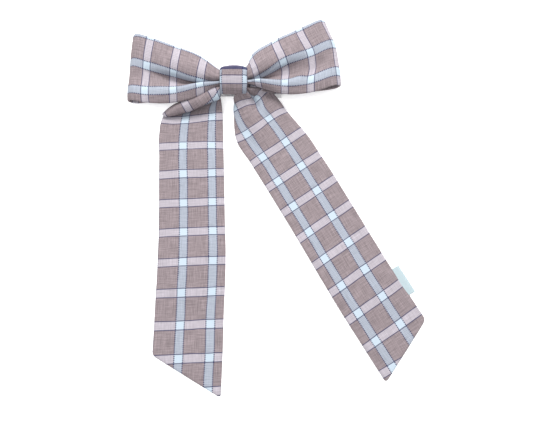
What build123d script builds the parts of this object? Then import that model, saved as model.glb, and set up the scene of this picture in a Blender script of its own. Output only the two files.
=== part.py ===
from build123d import *
import math
import os

# A child's long-tailed hair bow on a spring barrette, lying on its back.
# Frame: millimetres. Origin on the clasp arm's flat underside, straight below the knot.
# +X runs to the right along the barrette, +Y from the tails towards the loops, +Z out of
# the bow's front. Z = 0 is the surface that the clasp arm and the two tails lie on.
#
# Cloth pieces are turned tubes: two layers of cotton with a sheet of interfacing between.

os.makedirs("parts", exist_ok=True)

# ---- Cloth --------------------------------------------------------------------------------
CLOTH = 1.6                 # both layers of a loop's or the knot's wall
INTERFACING = 0.5
PLAY = 0.03                 # between the interfacing and each face of its pocket
SEAM = 1.2                  # cloth left between the interfacing and a folded edge

KNOT_LENGTH = 21.0          # along X
KNOT_Y = (-8.8, 9.8)
KNOT_Z = (9.2, 21.0)
KNOT_CORNER = 2.6

BACK_Z = 12.2               # middle of a loop's back panel under the knot
PINCH_Z = 17.5              # middle of its front panel under the knot
CREST_X, CREST_Z = 22.0, 18.8             # where the front panel swells beside the knot
FOLD_BACK_Z, FOLD_FRONT_Z = 6.0, 10.4     # both panels at the outer fold
FOLD_RADIUS = 2.0
PINCH_Y = (-0.8, 7.9)
LEFT_REACH, RIGHT_REACH = 68.3, 72.2      # from the knot to the outer fold
LEFT_TURN, RIGHT_TURN = -3.2, 12.4        # degrees that each loop leans
MIDDLE_GAP = 0.1            # between each loop's pinched end and the middle

TAIL_WIDTH = 42.7
TAIL_CLOTH = 2.2            # a tail is thicker: its seam allowances are inside
TAIL_SEAM = 1.7
BEND_Z = 3.0                # middle of a tail where it bends
TAIL_SINK = 21.0            # it has sunk to the table this far past the bend
TAIL_CORNER = 3.0
LEFT_TAIL_X, LEFT_BEND = -25.6, 24.0
LEFT_SHORT, LEFT_LONG = 171.5, 196.5      # from the knot's height to the slanting end
RIGHT_TAIL_X, RIGHT_BEND = 5.75, 30.0
RIGHT_SHORT, RIGHT_LONG = 190.0, 212.5
RIGHT_TAIL_TURN = 30.9      # degrees that the right tail swings out

NECK_Y, NECK_Z = (-6.65, -1.95), (11.45, 15.9)   # the gathered tail strip in the knot
NECK_SIDE_GAP = 0.3         # between a neck and the knot's band
BEND_GAP = 0.5              # between a neck and its tail's round root

THREAD, TAIL_THREAD = 0.6, 0.5
THREAD_TURNS = 5
THREAD_PITCH = 1.05         # in thread diameters
BUNDLE_CORNER = 0.6         # of a bundle where its thread goes round

LABEL_ALONG = (-178.2, -159.0)            # along the right tail
LABEL_PROUD, LABEL_TUCK = 5.4, 1.4
LABEL_LAYER, LABEL_GAP = 0.3, 0.1

# ---- Barrette -----------------------------------------------------------------------------
STEEL = 0.8
BASE_X, BASE_WIDTH, BASE_TOP = (-36.0, 36.0), 8.4, 8.2
FELT_LENGTH, FELT_WIDTH = 26.0, 7.6

PIN_X, PIN_RADIUS, PIN_HEAD, PIN_HEAD_RADIUS = -32.8, 0.7, 0.3, 1.1
KNUCKLE_PLAY = 0.05
LUG_RADIUS, LUG_GAP = 1.5, 0.4
ARM_WIDTH, ARM_END_X, ARM_TIP_RADIUS = 5.8, 33.4, 2.4

BAR_WIDTH, BAR_STEEL = 5.4, 0.5
BAR_SAG = 1.9
BAR_END_X, RIVET_X = 27.3, 24.8
RIVET_RADIUS, RIVET_HEAD_RADIUS, RIVET_HEAD = 0.8, 1.4, 0.35

LATCH_X, LATCH_LENGTH = 31.0, 5.0
LATCH_Y, LATCH_STEEL = 3.7, 0.7           # middle of each ear's plate
LATCH_Z = (0.5, 6.95)                     # its lower edge and its pivot
LIP_HEIGHT, LIP_PLAY = 0.7, 0.1
TRUNNION, TRUNNION_LENGTH, TRUNNION_PLAY = 0.2, 0.8, 0.03
BRACKET_STEEL, BRACKET_DROP, BRACKET_GAP = 0.7, 1.1, 0.1

BASE_BOTTOM = BASE_TOP - STEEL
PIN_Z = PIN_RADIUS + KNUCKLE_PLAY + STEEL


# ---- Helpers ------------------------------------------------------------------------------
def strip_along(plane, points, radii, thickness, width):
    """A strip of even thickness whose middle follows a rounded polyline in `plane`."""
    middle = FilletPolyline(*points, radius=radii)
    return extrude(plane * trace(middle, thickness), width / 2, both=True)


def prism(outline, z=(-20.0, 60.0)):
    """A face in XY pulled up into a solid."""
    return extrude(Pos(0, 0, z[0]) * outline, z[1] - z[0])


def polygon(*points):
    return make_face(Polyline(*points, close=True))


def block(x, y, z):
    """A box from its (low, high) pairs."""
    size = [high - low for low, high in (x, y, z)]
    middle = [(high + low) / 2 for low, high in (x, y, z)]
    return Pos(*middle) * Box(*size)


def rod_along_y(x, z, radius, y):
    return Pos(x, (y[0] + y[1]) / 2, z) * Rot(90, 0, 0) * Cylinder(radius, y[1] - y[0])


def rod_along_x(x, y, z, radius):
    return Pos((x[0] + x[1]) / 2, y, z) * Rot(0, 90, 0) * Cylinder(radius, x[1] - x[0])


def disc(x, y, z, radius):
    return Pos(x, y, (z[0] + z[1]) / 2) * Cylinder(radius, z[1] - z[0])


def grow(limits, amount):
    return limits[0] - amount, limits[1] + amount


def rounded_ring(x, y, z, corner, thickness):
    """A flat band bent round a rounded rectangle in YZ; y and z are its outer limits."""
    size = (y[1] - y[0], z[1] - z[0])
    outer = RectangleRounded(size[0], size[1], corner)
    inner = RectangleRounded(size[0] - 2 * thickness, size[1] - 2 * thickness, corner - thickness)
    centre = Pos((x[0] + x[1]) / 2, (y[0] + y[1]) / 2, (z[0] + z[1]) / 2)
    return centre * extrude(Plane.YZ * (outer - inner), (x[1] - x[0]) / 2, both=True)


def thread_winding(y, z, thread):
    """Turns of thread side by side round a gathered bundle; y and z are the bundle's limits."""
    turns = []
    for i in range(THREAD_TURNS):
        x = (i - (THREAD_TURNS - 1) / 2) * thread * THREAD_PITCH
        turns.append(rounded_ring((x - thread / 2, x + thread / 2), grow(y, thread),
                                  grow(z, thread), BUNDLE_CORNER + thread, thread))
    return Compound(turns)


def thread_seat(y, z, thread):
    """What the winding takes away from its bundle's corners and sides."""
    half = thread * (1 + (THREAD_TURNS - 1) * THREAD_PITCH) / 2 + 0.05
    return rounded_ring((-half, half), grow(y, 2.0), grow(z, 2.0), BUNDLE_CORNER + 2.0, 2.0)


# ---- Loops --------------------------------------------------------------------------------
# Each loop's edge seen from the front, from the knot outwards; the ends run past the fold.
LEFT_TOP = [(-11.0, PINCH_Y[1]), (-20.8, 18.2), (-38.0, 27.4), (-55.5, 35.2), (-72.0, 40.6)]
LEFT_BOTTOM = [(-11.0, PINCH_Y[0]), (-23.8, -7.4), (-37.2, -10.8), (-54.0, -10.0), (-72.0, -8.6)]
RIGHT_TOP = [(11.0, PINCH_Y[1]), (20.3, 25.2), (32.4, 33.9), (46.1, 41.7), (70.0, 53.6)]
RIGHT_BOTTOM = [(11.0, PINCH_Y[0]), (25.7, -3.8), (35.6, -6.0), (45.6, -5.2), (59.0, -1.6),
                (80.0, 4.2)]


def loop_outline(side, top, bottom, inset):
    """A loop seen from the front, pulled in by `inset` at its top and bottom edges."""
    start = side * MIDDLE_GAP
    upper = [(x, y - inset) for x, y in top]
    lower = [(x, y + inset) for x, y in bottom]
    return make_face([
        Line((start, upper[0][1]), upper[0]),
        Spline(*upper),
        Line(upper[-1], lower[-1]),
        Spline(*lower),
        Line(lower[0], (start, lower[0][1])),
        Line((start, lower[0][1]), (start, upper[0][1])),
    ])


def loop_wall(side, reach, turn, thickness):
    """The U of a loop: front panel, outer fold and back panel. side is -1 left, 1 right."""
    inside = -6.0 * side
    points = [(inside, PINCH_Z), (11.0 * side, PINCH_Z), (CREST_X * side, CREST_Z),
              (reach * side, FOLD_FRONT_Z), (reach * side, FOLD_BACK_Z),
              (11.0 * side, BACK_Z), (inside, BACK_Z)]
    radii = [10.0, 16.0, FOLD_RADIUS, FOLD_RADIUS, 14.0]
    return Rot(0, 0, turn) * strip_along(Plane.XZ, points, radii, thickness, 160.0)


def loop_and_interfacing(side, reach, turn, top, bottom, seat):
    wall = loop_wall(side, reach, turn, CLOTH) & prism(loop_outline(side, top, bottom, 0.0))
    pocket = (loop_wall(side, reach, turn, INTERFACING + 2 * PLAY)
              & prism(loop_outline(side, top, bottom, SEAM)))
    sheet = (loop_wall(side, reach, turn, INTERFACING)
             & prism(loop_outline(side, top, bottom, SEAM + PLAY)))
    return wall - pocket - seat, sheet


# ---- Tails --------------------------------------------------------------------------------
def tail_outline(bend, short, long_side, inner, inset):
    """A tail in its own frame, running towards -Y. Its long edge is at +X where inner is 1."""
    half = TAIL_WIDTH / 2 - inset
    slope = (long_side - short) / TAIL_WIDTH
    end_inset = inset * math.hypot(1, slope)
    short_y = end_inset - short - slope * inset
    long_y = end_inset - long_side + slope * inset
    face = polygon((-half * inner, -bend), (-half * inner, short_y),
                   (half * inner, long_y), (half * inner, -bend))
    return fillet(face.vertices().sort_by(Axis.Y)[:2], TAIL_CORNER)


def tail_layer(bend, thickness):
    """The tail's side view: down from its bend to the table, then flat."""
    flat_z = TAIL_CLOTH / 2
    points = [(-bend, BEND_Z), (-bend - TAIL_SINK, flat_z), (-300.0, flat_z)]
    return strip_along(Plane.YZ, points, [90.0], thickness, 80.0)


def tail_and_interfacing(bend, short, long_side, inner):
    def layer(thickness, inset):
        outline = prism(tail_outline(bend, short, long_side, inner, inset))
        return tail_layer(bend, thickness) & outline

    half = TAIL_WIDTH / 2
    root = rod_along_x((-half, half), -bend, BEND_Z, TAIL_CLOTH / 2)
    pocket_height = INTERFACING / 2 + PLAY
    mouth = block(grow((-half, half), -TAIL_SEAM), (-bend - 0.3, -bend + 3.0),
                  (BEND_Z - pocket_height, BEND_Z + pocket_height))
    cloth = root + layer(TAIL_CLOTH, 0.0) - layer(2 * pocket_height, TAIL_SEAM) - mouth
    return cloth, layer(INTERFACING, TAIL_SEAM + PLAY)


# Each neck's outline outside the knot, seen from the front.
LEFT_NECK = [(-10.8, -1.9), (-24.0, -9.6), (-46.9, -14.5), (-46.9, -60.0), (-4.3, -60.0),
             (-4.3, -9.1), (-10.8, -9.1)]
RIGHT_NECK = [(10.8, -1.9), (22.3, -6.2), (34.5, -9.9), (60.0, -50.0), (10.0, -50.0),
              (0.9, -32.0), (0.5, -9.1), (10.8, -9.1)]


def neck(side, outline, place, bend):
    """The gathered strip from inside the knot to just short of the tail's bend."""
    end = -bend + TAIL_CLOTH / 2 + BEND_GAP
    half = TAIL_CLOTH / 2
    sinking = Plane.YZ * polygon((end, BEND_Z - half), (-9.0, 9.6), (4.0, 10.9), (4.0, 14.0),
                                 (-9.0, 12.4), (end, BEND_Z + half))
    flare = place * extrude(sinking, 60.0, both=True) & prism(polygon(*outline))
    inside = sorted((side * MIDDLE_GAP, side * (KNOT_LENGTH / 2 + NECK_SIDE_GAP)))
    return flare + block(inside, NECK_Y, NECK_Z) - thread_seat(NECK_Y, NECK_Z, TAIL_THREAD)


# ---- Side label ---------------------------------------------------------------------------
def label_pieces():
    """The folded tape in its tail's own frame, and the slit in the seam that holds it."""
    edge, middle = TAIL_WIDTH / 2, TAIL_CLOTH / 2
    half = LABEL_LAYER + LABEL_GAP / 2
    x = (edge - LABEL_TUCK, edge + LABEL_PROUD)
    tape = block(x, LABEL_ALONG, (middle - half, middle + half))
    fold = block((x[0] - 1, x[1] - LABEL_LAYER), LABEL_ALONG,
                 (middle - LABEL_GAP / 2, middle + LABEL_GAP / 2))
    slit = block((x[0], edge + 1), grow(LABEL_ALONG, PLAY), (middle - half, middle + half))
    return tape - fold, slit


# ---- Barrette -----------------------------------------------------------------------------
def rivet_places():
    return (-RIVET_X, RIVET_X)


def barrette_base():
    """The top plate with its hinge lugs and the brackets that carry the latch ears."""
    half = BASE_WIDTH / 2
    plate = prism(fillet(Rectangle(BASE_X[1] - BASE_X[0], BASE_WIDTH).vertices(), 2.0),
                  (BASE_BOTTOM, BASE_TOP))
    base = plate
    for side in (-1, 1):
        lug_y = sorted((side * (half - STEEL), side * half))
        lug = (block((PIN_X - LUG_RADIUS, PIN_X + LUG_RADIUS), lug_y, (PIN_Z, BASE_TOP))
               + rod_along_y(PIN_X, PIN_Z, LUG_RADIUS, lug_y))
        base += lug - rod_along_y(PIN_X, PIN_Z, PIN_RADIUS, lug_y)
        for end in (-1, 1):
            inner = LATCH_X + end * (LATCH_LENGTH / 2 + BRACKET_GAP)
            x = sorted((inner, inner + end * BRACKET_STEEL))
            y = sorted((side * (half - 1.2), side * half))
            base += block(x, y, (BASE_BOTTOM - BRACKET_DROP, BASE_BOTTOM))
            base -= rod_along_x(x, side * LATCH_Y, LATCH_Z[1], TRUNNION + TRUNNION_PLAY)
    for x in rivet_places():
        base -= disc(x, 0, (BASE_BOTTOM, BASE_TOP), RIVET_RADIUS)
    return base


def clasp_arm():
    """The long lower arm with its knuckle curled round the hinge pin."""
    half = ARM_WIDTH / 2
    bore = PIN_RADIUS + KNUCKLE_PLAY
    tip = RectangleRounded(12.0, ARM_WIDTH, ARM_TIP_RADIUS)
    strip = (block((PIN_X, ARM_END_X - 6.0), (-half, half), (0, STEEL))
             + prism(Pos(ARM_END_X - 6.0, 0) * tip, (0, STEEL)))
    knuckle = rod_along_y(PIN_X, PIN_Z, bore + STEEL, (-half, half))
    return strip + knuckle - rod_along_y(PIN_X, PIN_Z, bore, (-half, half))


def hinge_pin():
    half = BASE_WIDTH / 2
    pin = rod_along_y(PIN_X, PIN_Z, PIN_RADIUS, (-half, half))
    for y in ((-half - PIN_HEAD, -half), (half, half + PIN_HEAD)):
        pin += rod_along_y(PIN_X, PIN_Z, PIN_HEAD_RADIUS, y)
    return pin


def tension_bar():
    """The bowed leaf that presses the hair onto the arm, riveted under the base."""
    top = BASE_BOTTOM - BAR_STEEL / 2
    flat_x = RIVET_X - RIVET_HEAD_RADIUS - 0.6
    leaf = Line((-BAR_END_X, top), (-flat_x, top)) + Spline(
        (-flat_x, top), (0, top - BAR_SAG), (flat_x, top), tangents=[(1, -0.2), (1, 0.2)])
    leaf += Line((flat_x, top), (BAR_END_X, top))
    bar = extrude(Plane.XZ * trace(leaf, BAR_STEEL), BAR_WIDTH / 2, both=True)
    for x in rivet_places():
        bar -= disc(x, 0, (0, BASE_BOTTOM), RIVET_RADIUS)
    return bar


def rivet(x):
    bar_bottom = BASE_BOTTOM - BAR_STEEL
    return (disc(x, 0, (bar_bottom, BASE_TOP), RIVET_RADIUS)
            + disc(x, 0, (bar_bottom - RIVET_HEAD, bar_bottom), RIVET_HEAD_RADIUS)
            + disc(x, 0, (BASE_TOP, BASE_TOP + RIVET_HEAD), RIVET_HEAD_RADIUS))


def latch_ear(side):
    """A sprung side plate with a small inward lip; side is -1 in front, 1 behind."""
    x = (LATCH_X - LATCH_LENGTH / 2, LATCH_X + LATCH_LENGTH / 2)
    half = LATCH_STEEL / 2
    y = sorted((side * (LATCH_Y - half), side * (LATCH_Y + half)))
    lip_y = sorted((side * (ARM_WIDTH / 2 + LIP_PLAY), side * LATCH_Y))
    return (block(x, y, LATCH_Z) + rod_along_x(x, side * LATCH_Y, LATCH_Z[1], half)
            + block(x, lip_y, (LATCH_Z[0], LATCH_Z[0] + LIP_HEIGHT))
            + rod_along_x(grow(x, TRUNNION_LENGTH), side * LATCH_Y, LATCH_Z[1], TRUNNION))


# ---- Build --------------------------------------------------------------------------------
LOOP_BUNDLE_Y = (PINCH_Y[0] + 0.7, PINCH_Y[1] - 0.5)
LOOP_BUNDLE_Z = (BACK_Z - CLOTH / 2, PINCH_Z + CLOTH / 2)
loop_seat = thread_seat(LOOP_BUNDLE_Y, LOOP_BUNDLE_Z, THREAD)
left_place = Pos(LEFT_TAIL_X, 0, 0)
right_place = Rot(0, 0, RIGHT_TAIL_TURN) * Pos(RIGHT_TAIL_X, 0, 0)

parts = {}
parts["loop_left"], parts["loop_left_interfacing"] = loop_and_interfacing(
    -1, LEFT_REACH, LEFT_TURN, LEFT_TOP, LEFT_BOTTOM, loop_seat)
parts["loop_right"], parts["loop_right_interfacing"] = loop_and_interfacing(
    1, RIGHT_REACH, RIGHT_TURN, RIGHT_TOP, RIGHT_BOTTOM, loop_seat)
parts["loop_gather_thread"] = thread_winding(LOOP_BUNDLE_Y, LOOP_BUNDLE_Z, THREAD)
parts["tail_gather_thread"] = thread_winding(NECK_Y, NECK_Z, TAIL_THREAD)
parts["knot_wrap"] = rounded_ring((-KNOT_LENGTH / 2, KNOT_LENGTH / 2), KNOT_Y, KNOT_Z,
                                  KNOT_CORNER, CLOTH)

left_cloth, left_sheet = tail_and_interfacing(LEFT_BEND, LEFT_SHORT, LEFT_LONG, 1)
right_cloth, right_sheet = tail_and_interfacing(RIGHT_BEND, RIGHT_SHORT, RIGHT_LONG, -1)
label, label_slit = label_pieces()
parts["tail_left"] = left_place * left_cloth
parts["tail_left_interfacing"] = left_place * left_sheet
parts["tail_right"] = right_place * (right_cloth - label_slit)
parts["tail_right_interfacing"] = right_place * right_sheet
parts["side_label"] = right_place * label
parts["tail_neck_left"] = neck(-1, LEFT_NECK, Pos(0, 0, 0), LEFT_BEND)
parts["tail_neck_right"] = neck(1, RIGHT_NECK, right_place, RIGHT_BEND)

parts["glue_pad"] = block((-FELT_LENGTH / 2, FELT_LENGTH / 2), (-FELT_WIDTH / 2, FELT_WIDTH / 2),
                          (BASE_TOP, KNOT_Z[0]))
parts["barrette_base"] = barrette_base()
parts["barrette_clasp_arm"] = clasp_arm()
parts["hinge_pin"] = hinge_pin()
parts["tension_bar"] = tension_bar()
parts["rivet_left"], parts["rivet_right"] = (rivet(x) for x in rivet_places())
parts["latch_ear_front"], parts["latch_ear_back"] = latch_ear(-1), latch_ear(1)

for name, part in parts.items():
    export_step(part, f"parts/{name}.step")
    limits = part.bounding_box()
    print(name, f"{part.volume:.1f} mm3", limits.min, limits.max)
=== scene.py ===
import math

import bpy
import numpy as np
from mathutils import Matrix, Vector


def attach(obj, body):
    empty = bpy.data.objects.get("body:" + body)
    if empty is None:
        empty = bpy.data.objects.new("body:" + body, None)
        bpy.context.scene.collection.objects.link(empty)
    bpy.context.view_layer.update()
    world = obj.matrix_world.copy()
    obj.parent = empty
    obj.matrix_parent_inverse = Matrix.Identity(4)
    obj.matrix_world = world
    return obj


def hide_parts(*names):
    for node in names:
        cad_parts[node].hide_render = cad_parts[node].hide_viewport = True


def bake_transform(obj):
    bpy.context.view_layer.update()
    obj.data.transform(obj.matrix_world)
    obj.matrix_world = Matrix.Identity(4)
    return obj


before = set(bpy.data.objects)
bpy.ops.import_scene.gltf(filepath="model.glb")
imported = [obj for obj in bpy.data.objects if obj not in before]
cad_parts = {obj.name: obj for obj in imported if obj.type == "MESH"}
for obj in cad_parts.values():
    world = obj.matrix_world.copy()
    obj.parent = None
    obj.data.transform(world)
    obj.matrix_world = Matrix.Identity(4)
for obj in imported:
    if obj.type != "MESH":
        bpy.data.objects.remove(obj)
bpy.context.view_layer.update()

# A long-tailed plaid hair bow on a spring barrette, lying on its back.
# Shapes are written in millimetres and made in metres: +X right, +Y up to the loops, +Z front.
MM, PER_M = 0.001, 1000.0

# ---- Cloth, in mm -------------------------------------------------------------------------
PINK_STEP, PALE_STEP = 19.4, 18.8       # the check's repeat along and across the strip
STRIPE_HALF = 2.65
YARN = 0.36
DOT_STEP, DOT_HALF = 0.60, 0.34         # half the step of a dotted pinstripe, and half a dot
PALE_LINE, PINK_LINE = 0.36, 0.26       # half widths of the pinstripes
LOOP_WIDTH, TAIL_WIDTH = 45.5, 43.0
LOOP_THICK, TAIL_THICK, PLEAT_THICK, KNOT_THICK = 1.3, 1.7, 1.2, 1.3
LOOP_SEAM, TAIL_SEAM = 1.6, 2.0         # the interfacing stops this far from the edges
STIFFENER_HALF = 0.15
RIGHT_TAIL_TURN = 30.9                  # degrees

# ---- Camera, in mm ------------------------------------------------------------------------
CAMERA_PLACE, CAMERA_TARGET = (23.35, -162.82, 363.87), (23.35, -85.48, 0.0)
CAMERA_LENS, CAMERA_SENSOR = 38.655, 36.0


# ---- Camera, light and floor --------------------------------------------------------------
def make_camera():
    data = bpy.data.cameras.new("camera")
    data.lens, data.sensor_width = CAMERA_LENS, CAMERA_SENSOR
    data.clip_start, data.clip_end = 0.01, 20.0
    cam = bpy.data.objects.new("camera", data)
    bpy.context.scene.collection.objects.link(cam)
    place, target = Vector(CAMERA_PLACE) * MM, Vector(CAMERA_TARGET) * MM
    cam.location = place
    cam.rotation_euler = (target - place).to_track_quat("-Z", "Y").to_euler()
    bpy.context.scene.camera = cam


def area_light(name, place, target, size, watts, colour):
    data = bpy.data.lights.new(name, "AREA")
    data.shape, data.size, data.energy, data.color = "DISK", size, watts, colour
    lamp = bpy.data.objects.new(name, data)
    bpy.context.scene.collection.objects.link(lamp)
    lamp.location = place
    lamp.rotation_euler = (Vector(target) - Vector(place)).to_track_quat("-Z", "Y").to_euler()


def make_light():
    world = bpy.data.worlds.new("studio")
    bpy.context.scene.world = world
    world.use_nodes = True
    back = world.node_tree.nodes["Background"]
    back.inputs["Color"].default_value = (0.98, 0.985, 1.0, 1)
    back.inputs["Strength"].default_value = 0.42
    area_light("key", (0.15, 0.90, 1.15), (0.0, -0.05, 0.0), 0.6, 28.3, (1.0, 0.99, 0.975))
    area_light("fill", (-0.4, -0.35, 1.4), (0.03, -0.08, 0.0), 1.0, 8.8, (0.98, 0.985, 1.0))
    bpy.context.scene.view_settings.view_transform = "Standard"


def make_floor():
    mesh = bpy.data.meshes.new("floor")
    half, level = 1.6, -0.00005
    mesh.from_pydata([(-half, -half, level), (half, -half, level),
                      (half, half, level), (-half, half, level)], [], [(0, 1, 2, 3)])
    floor = bpy.data.objects.new("floor", mesh)
    bpy.context.scene.collection.objects.link(floor)
    material = bpy.data.materials.new("pale floor")
    material.use_nodes = True
    shader = material.node_tree.nodes["Principled BSDF"]
    shader.inputs["Base Color"].default_value = (0.96, 0.96, 0.96, 1)
    shader.inputs["Roughness"].default_value = 0.9
    shader.inputs["Specular IOR Level"].default_value = 0.1
    shader.inputs["Emission Color"].default_value = (1, 1, 1, 1)
    shader.inputs["Emission Strength"].default_value = 0.5
    mesh.materials.append(material)


make_camera()
make_light()
make_floor()


# ---- Materials ----------------------------------------------------------------------------
class Graph:
    """A short way to write a material's nodes."""

    def __init__(self, name, roughness, specular=0.3, metallic=0.0, sheen=0.0):
        self.material = bpy.data.materials.new(name)
        self.material.use_nodes = True
        self.tree = self.material.node_tree
        self.shader = self.tree.nodes["Principled BSDF"]
        for socket, value in (("Roughness", roughness), ("Specular IOR Level", specular),
                              ("Metallic", metallic), ("Sheen Weight", sheen),
                              ("Sheen Roughness", 0.5)):
            self.shader.inputs[socket].default_value = value

    def feed(self, value, socket):
        if isinstance(value, bpy.types.NodeSocket):
            self.tree.links.new(value, socket)
        elif isinstance(value, tuple) and len(value) == 3 and socket.type == "RGBA":
            socket.default_value = (*value, 1)
        else:
            socket.default_value = value

    def node(self, kind, inputs=(), **settings):
        made = self.tree.nodes.new(kind)
        for name, value in settings.items():
            setattr(made, name, value)
        for name, value in dict(inputs).items():
            self.feed(value, made.inputs[name])
        return made

    def calc(self, operation, a, b=0.0, c=0.0, clamp=False):
        made = self.node("ShaderNodeMath", operation=operation, use_clamp=clamp)
        for i, value in enumerate((a, b, c)):
            self.feed(value, made.inputs[i])
        return made.outputs[0]

    def mix(self, factor, a, b, blend="MIX"):
        made = self.node("ShaderNodeMix", data_type="RGBA", blend_type=blend)
        self.feed(factor, made.inputs[0])
        self.feed(a, made.inputs[6])
        self.feed(b, made.inputs[7])
        return made.outputs[2]

    def below(self, value, limit, soft):
        """1 where value is under limit, falling to 0 over a width of soft."""
        return self.calc("MULTIPLY_ADD", value, -1 / soft, limit / soft + 0.5, clamp=True)

    def noise(self, vector, scale, detail=2.0, rough=0.5):
        made = self.node("ShaderNodeTexNoise", {"Vector": vector, "Scale": scale,
                                                "Detail": detail, "Roughness": rough})
        return made.outputs["Fac"]

    def join(self, x, y, z=0.0):
        made = self.node("ShaderNodeCombineXYZ", {"X": x, "Y": y, "Z": z})
        return made.outputs[0]

    def finish(self, colour, height, distance, strength=1.0):
        self.feed(colour, self.shader.inputs["Base Color"])
        bump = self.node("ShaderNodeBump", {"Height": height, "Distance": distance,
                                            "Strength": strength})
        self.tree.links.new(bump.outputs[0], self.shader.inputs["Normal"])
        return self.material


TAUPE_DARK, TAUPE_LIGHT = (0.110, 0.091, 0.096), (0.384, 0.318, 0.336)
PALE_BLUE = (0.328, 0.358, 0.420)
PINK = (0.408, 0.376, 0.418)
CROSSING = (0.470, 0.555, 0.635)
NAVY = (0.028, 0.030, 0.085)


def plaid_cotton():
    """Fine yarn-dyed cotton: pale and pinkish stripes with navy pinstripes on taupe."""
    g = Graph("plaid cotton", 0.9, specular=0.12, sheen=0.04)
    uv = g.node("ShaderNodeUVMap", uv_map="weave").outputs[0]
    parts = g.node("ShaderNodeSeparateXYZ", {"Vector": uv})
    along = g.calc("MULTIPLY", parts.outputs[0], PER_M)
    across = g.calc("MULTIPLY", parts.outputs[1], PER_M)
    # the yarns wander a little, and the crosswise ones lie slightly askew
    wander = g.noise(g.join(g.calc("MULTIPLY", along, 0.05), g.calc("MULTIPLY", across, 0.05)), 1.0)
    wander = g.calc("MULTIPLY_ADD", wander, 0.9, -0.45)
    crosswise = g.calc("ADD", along, wander)
    lengthwise = g.calc("ADD", across, wander)

    # yarns over and under
    warp = g.calc("SINE", g.calc("MULTIPLY", lengthwise, 2 * math.pi / YARN))
    weft = g.calc("SINE", g.calc("MULTIPLY", crosswise, 2 * math.pi / YARN))
    weave = g.calc("MULTIPLY_ADD", g.calc("MULTIPLY", warp, weft), 0.5, 0.5)

    # slubs: long thin streaks each way, and soft cloudiness
    slub_a = g.noise(g.join(g.calc("MULTIPLY", along, 0.10), g.calc("MULTIPLY", across, 2.2)),
                     1.0, 3.0, 0.65)
    slub_b = g.noise(g.join(g.calc("MULTIPLY", along, 2.2), g.calc("MULTIPLY", across, 0.10), 7.0),
                     1.0, 3.0, 0.65)
    slubs = g.calc("MULTIPLY_ADD", g.calc("ADD", slub_a, slub_b), 1.7, -1.2, clamp=True)
    shade = g.calc("MULTIPLY_ADD", weave, 0.3, g.calc("MULTIPLY", slubs, 0.7))
    ground = g.mix(shade, TAUPE_DARK, TAUPE_LIGHT)

    pink_at = g.calc("PINGPONG", crosswise, PINK_STEP / 2)
    pale_at = g.calc("PINGPONG", lengthwise, PALE_STEP / 2)
    pink = g.below(pink_at, STRIPE_HALF, 0.25)
    pale = g.below(pale_at, STRIPE_HALF, 0.25)
    tone = g.calc("MULTIPLY_ADD", slubs, 0.44, 0.78)
    ribs = g.below(g.calc("PINGPONG", crosswise, 0.45), 0.22, 0.2)
    pale_tone = g.calc("MULTIPLY", tone, g.calc("MULTIPLY_ADD", ribs, 0.24, 0.88))
    ribs = g.below(g.calc("PINGPONG", lengthwise, 0.45), 0.22, 0.2)
    pink_tone = g.calc("MULTIPLY", tone, g.calc("MULTIPLY_ADD", ribs, 0.16, 0.92))
    pink_colour = g.mix(1.0, g.join(pink_tone, pink_tone, pink_tone), PINK, "MULTIPLY")
    pale_colour = g.mix(1.0, g.join(pale_tone, pale_tone, pale_tone), PALE_BLUE, "MULTIPLY")
    colour = g.mix(pink, ground, pink_colour)
    colour = g.mix(pale, colour, pale_colour)
    colour = g.mix(g.calc("MULTIPLY", pink, pale), colour, CROSSING)

    # pinstripes: dotted along the strip, nearly solid across it
    dots = g.below(g.calc("PINGPONG", crosswise, DOT_STEP), DOT_HALF, 0.12)
    threads = g.calc("MULTIPLY_ADD", g.below(g.calc("PINGPONG", lengthwise, YARN), 0.26, 0.1),
                     0.4, 0.6)
    pale_off = g.calc("ABSOLUTE", g.calc("SUBTRACT", pale_at, STRIPE_HALF))
    pale_line = g.below(pale_off, PALE_LINE, 0.2)
    pink_off = g.calc("ABSOLUTE", g.calc("SUBTRACT", pink_at, STRIPE_HALF))
    pink_line = g.below(pink_off, PINK_LINE, 0.2)
    navy = g.calc("MAXIMUM", g.calc("MULTIPLY", pale_line, dots),
                  g.calc("MULTIPLY", pink_line, threads))
    colour = g.mix(navy, colour, NAVY)

    height = g.calc("ADD", g.calc("MULTIPLY", weave, 0.6), g.calc("MULTIPLY", slubs, 0.8))
    height = g.calc("MULTIPLY_ADD", navy, 0.3, height)
    return g.finish(colour, height, 0.00009, 0.6)


def plain_weave(name, light, dark, pitch, roughness=0.9, rib=1.0):
    """A plain woven tape, sheet or thread in one colour."""
    g = Graph(name, roughness, specular=0.15, sheen=0.1)
    uv = g.node("ShaderNodeUVMap", uv_map="weave").outputs[0]
    parts = g.node("ShaderNodeSeparateXYZ", {"Vector": uv})
    along = g.calc("MULTIPLY", parts.outputs[0], PER_M)
    across = g.calc("MULTIPLY", parts.outputs[1], PER_M)
    warp = g.calc("SINE", g.calc("MULTIPLY", across, 2 * math.pi / pitch))
    weft = g.calc("SINE", g.calc("MULTIPLY", along, 2 * math.pi / pitch * rib))
    weave = g.calc("MULTIPLY_ADD", g.calc("MULTIPLY", warp, weft), 0.5, 0.5)
    cloud = g.noise(g.join(along, across), 0.8, 3.0)
    colour = g.mix(g.calc("MULTIPLY_ADD", cloud, 0.6, g.calc("MULTIPLY", weave, 0.4)), dark, light)
    return g.finish(colour, weave, 0.00008, 0.7)


PLAID = plaid_cotton()
INTERFACING = plain_weave("interfacing", (0.84, 0.84, 0.82), (0.70, 0.70, 0.68), 0.5)


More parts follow.
